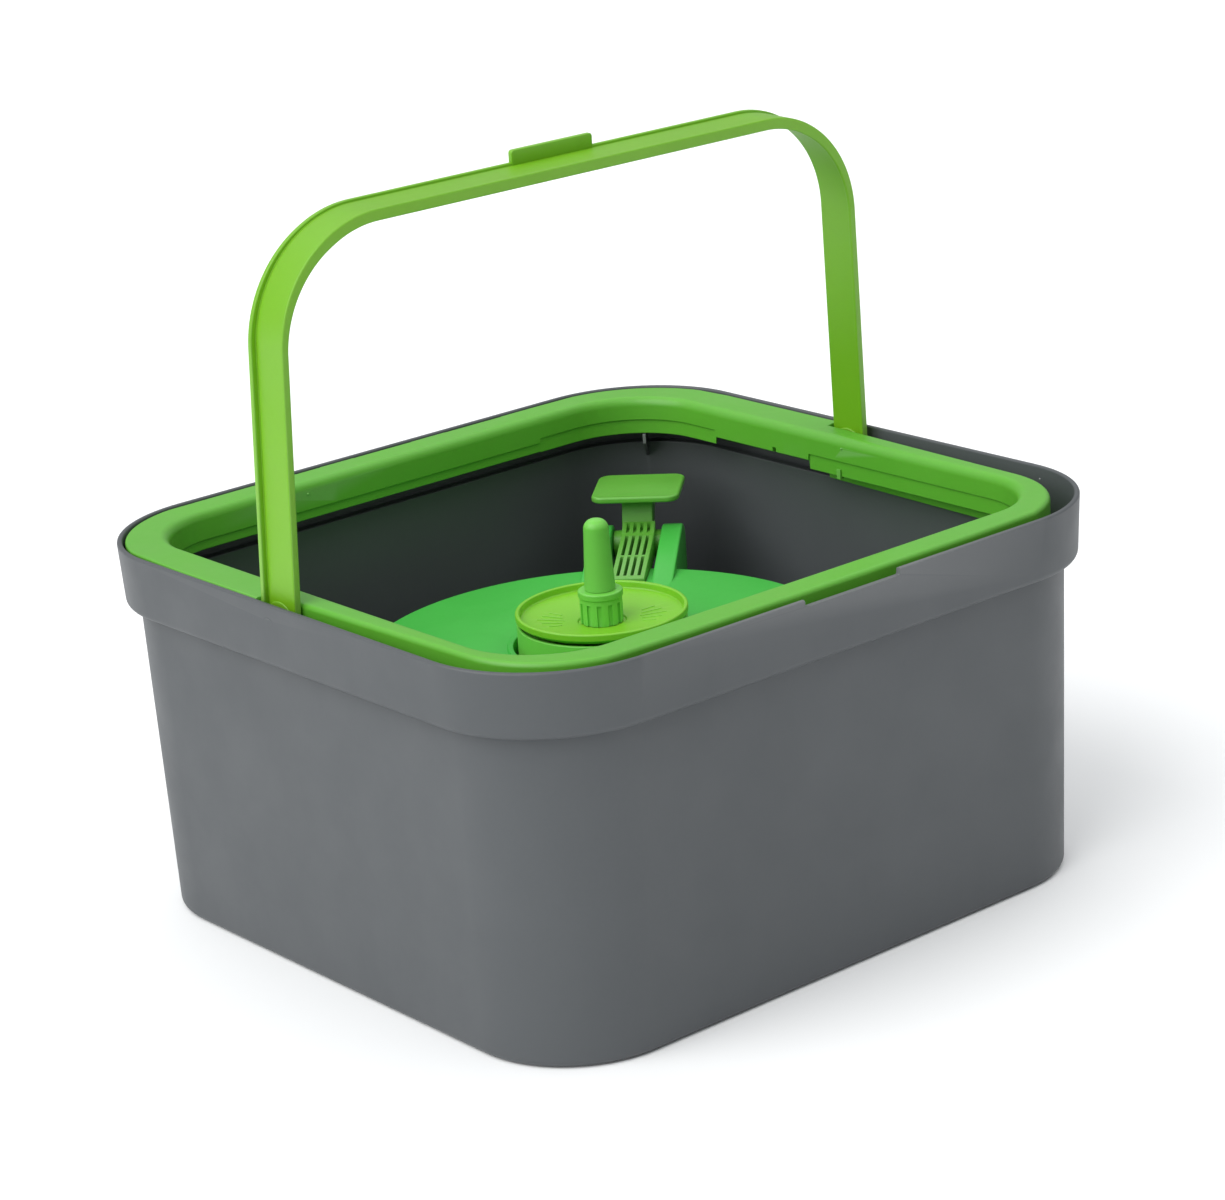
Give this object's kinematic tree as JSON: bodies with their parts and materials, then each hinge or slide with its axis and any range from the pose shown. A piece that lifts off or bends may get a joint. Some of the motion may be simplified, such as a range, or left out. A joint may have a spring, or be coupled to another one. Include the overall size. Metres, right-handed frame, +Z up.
{
  "type": "spin mop bucket",
  "caption": "Square bucket with a rim frame, a folding carry handle, and a pedal-driven spinning disc and post for a wet mop head.",
  "frame": {"origin": "bottom centre of the bucket, on the surface that it stands on", "axes": "+Z up, X along the handle's pivot axis, -Y the front, where the handle folds down to; the pedal is towards +X +Y"},
  "size_m": [0.39, 0.3742, 0.3834],
  "materials": {
    "grey_plastic": "moulded, fine matte",
    "green_plastic": "moulded, satin gloss",
    "inner_green_plastic": "moulded, satin gloss",
    "disc_plastic": "moulded, satin gloss",
    "drive_plastic": "moulded, plain",
    "steel": "plain turned or drawn",
    "seal_rubber": "matte"
  },
  "bodies": {
    "root": {"bucket": "grey_plastic", "rim_frame": "green_plastic", "top_cover": "inner_green_plastic", "base_casing": "grey_plastic", "gear_deck": "drive_plastic", "upper_bush": "drive_plastic", "lower_bush": "drive_plastic", "seal_ring": "seal_rubber", "pedal_pin": "steel", "base_screw_1": "steel", "base_screw_2": "steel", "base_screw_3": "steel", "base_screw_4": "steel", "cover_screw_1": "steel", "cover_screw_2": "steel", "cover_screw_3": "steel", "cover_screw_4": "steel"},
    "handle": {"carry_handle": "green_plastic"},
    "pedal": {"pedal_lever": "green_plastic", "pedal_pad": "green_plastic", "pedal_spring": "steel"},
    "rack": {"drive_rack": "drive_plastic"},
    "pinion": {"drive_pinion": "drive_plastic"},
    "spinner": {"spindle": "steel", "spin_disc": "disc_plastic", "spin_drum": "inner_green_plastic", "post_collar": "inner_green_plastic", "mop_post": "inner_green_plastic", "clutch_ring": "steel", "spindle_clip": "steel"}
  },
  "joints": [
    {"name": "handle_fold", "type": "hinge", "parent": "root", "child": "handle", "pos_m": [0, 0.009, 0.1845], "axis": [1, 0, 0], "range_deg": [-1.5, 88.5]},
    {"name": "pedal_press", "type": "hinge", "parent": "root", "child": "pedal", "pos_m": [0.11702, 0.10912, 0.129], "axis": [-0.682, 0.7314, 0], "range_deg": [0, 22], "stiffness_Nm_per_rad": 0.6, "springref_deg": -20.05},
    {"name": "rack_slide", "type": "slide", "parent": "root", "child": "rack", "axis": [-0.7314, -0.682, 0], "range_m": [0, 0.0113]},
    {"name": "pinion_turn", "type": "hinge", "parent": "root", "child": "pinion", "pos_m": [0, 0, 0.1], "axis": [0, 0, 1], "range_deg": [0, 92]},
    {"name": "spinner_turn", "type": "hinge", "parent": "root", "child": "spinner", "pos_m": [0, 0, 0.14], "axis": [0, 0, 1], "continuous": true}
  ],
  "couplings": [
    {"joint": "rack_slide", "follows": "pedal_press", "m_per_rad": 0.029},
    {"joint": "pinion_turn", "follows": "pedal_press", "ratio": 4.1429}
  ]
}
